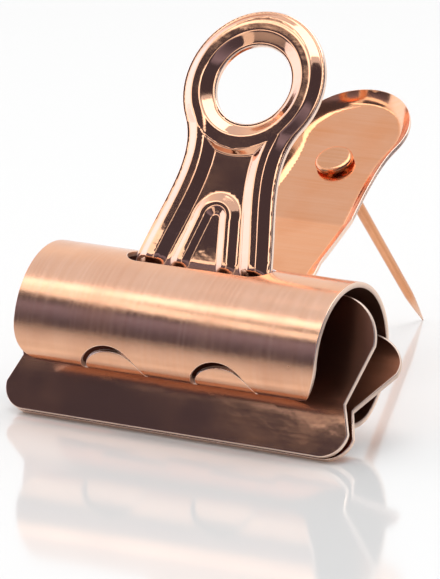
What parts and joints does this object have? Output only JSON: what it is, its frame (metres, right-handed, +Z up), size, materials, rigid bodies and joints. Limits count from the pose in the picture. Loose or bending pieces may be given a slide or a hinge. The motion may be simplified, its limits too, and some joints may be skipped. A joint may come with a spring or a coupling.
{
  "type": "pushpin clip",
  "caption": "Sprung bulldog clip with a ring handle in front and a curved rear handle that carries a long pin, for holding papers on a board.",
  "frame": {"origin": "bottom centre of the clip's box, on the floor that it stands on", "axes": "+X along the barrel and the jaws, +Y from the jaws back to the pin's point, +Z up from the floor"},
  "size_m": [0.0324, 0.0438, 0.0314],
  "materials": {
    "barrel": "polished copper-coloured plating on spring steel",
    "front": "polished copper-coloured plating on sheet steel",
    "rear": "polished copper-coloured plating on sheet steel",
    "pin": "satin copper-coloured plating on steel wire"
  },
  "bodies": {
    "rear": {"rear_lever": "rear", "push_pin": "pin", "spring_barrel": "barrel"},
    "front": {"front_lever": "front"}
  },
  "joints": [
    {"name": "jaw_hinge", "type": "hinge", "parent": "rear", "child": "front", "pos_m": [0, -0.01256, 0.01181], "axis": [-1, 0, 0], "range_deg": [0, 30], "stiffness_Nm_per_rad": 0.05, "deforming": ["spring_barrel"]}
  ]
}
